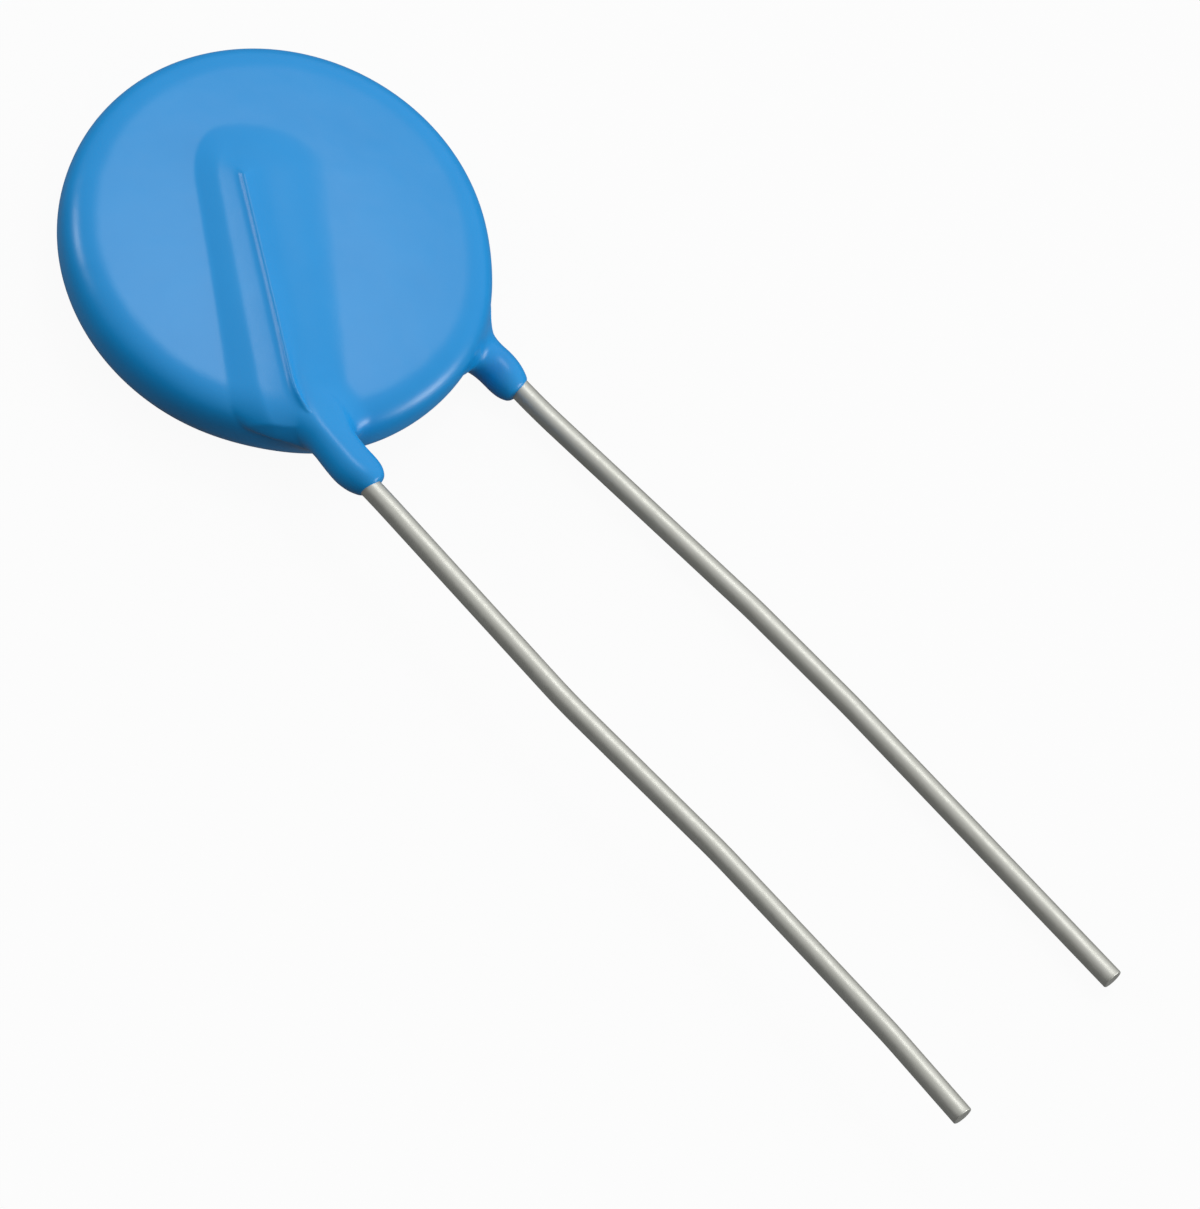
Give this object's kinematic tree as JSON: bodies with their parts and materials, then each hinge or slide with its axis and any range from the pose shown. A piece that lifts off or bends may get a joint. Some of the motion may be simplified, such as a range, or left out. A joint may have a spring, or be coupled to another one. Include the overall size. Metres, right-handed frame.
{
  "type": "metal oxide varistor",
  "caption": "Disc metal oxide varistor in a dipped blue epoxy coat, with a rib over each buried lead and long tinned radial wires.",
  "frame": {"origin": "midway between the two leads, in the seating plane where the legs of the coat end", "axes": "+X along the leads towards their cut ends, +Y from the front lead to the back lead, +Z out of the front face"},
  "size_m": [0.0484, 0.0157, 0.0042],
  "materials": {
    "blue_epoxy": "dipped epoxy, satin gloss",
    "zinc_oxide": "sintered ceramic, matte",
    "fired_silver": "fired silver, matte",
    "solder": "bright solder",
    "tinned_copper": "drawn and tinned, satin"
  },
  "bodies": {
    "root": {"epoxy_coat": "blue_epoxy", "ceramic_disc": "zinc_oxide", "front_electrode": "fired_silver", "back_electrode": "fired_silver", "front_solder": "solder", "back_solder": "solder", "front_lead": "tinned_copper", "back_lead": "tinned_copper"}
  },
  "joints": []
}
